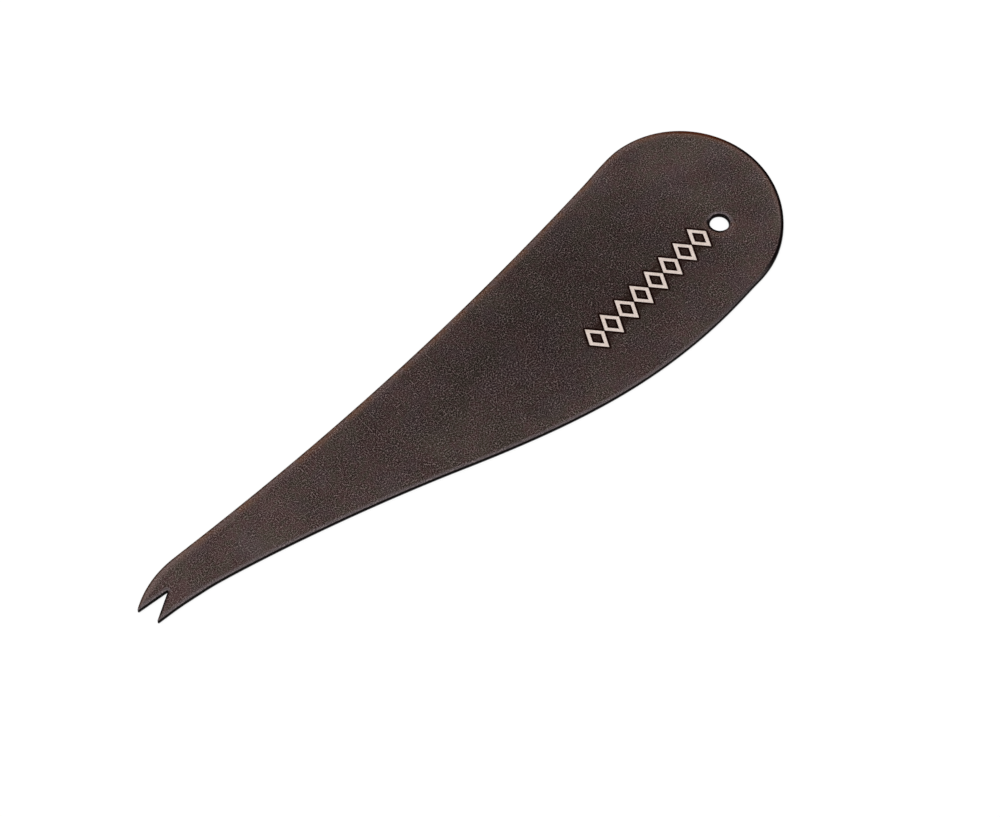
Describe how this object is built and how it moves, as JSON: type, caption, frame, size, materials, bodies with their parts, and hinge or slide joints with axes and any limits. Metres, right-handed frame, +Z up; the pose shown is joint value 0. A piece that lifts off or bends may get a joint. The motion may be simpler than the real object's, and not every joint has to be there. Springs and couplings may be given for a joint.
{
  "type": "trimming tool",
  "caption": "Flat leaf-shaped trimming tool cut from thin dark sheet metal, with a notched tip and a hanging hole.",
  "frame": {"origin": "middle of the plate's length and width, on its lower face", "axes": "+X along the plate towards the wide end with the hanging hole, +Y across it towards the side away from the hole, +Z up through its thickness"},
  "size_m": [0.1, 0.0284, 0.0006],
  "materials": {
    "darkened_steel": "satin dark brown-black finish on thin spring steel sheet, slightly bronze along the cut edges"
  },
  "bodies": {
    "root": {"tool_plate": "darkened_steel"}
  },
  "joints": []
}
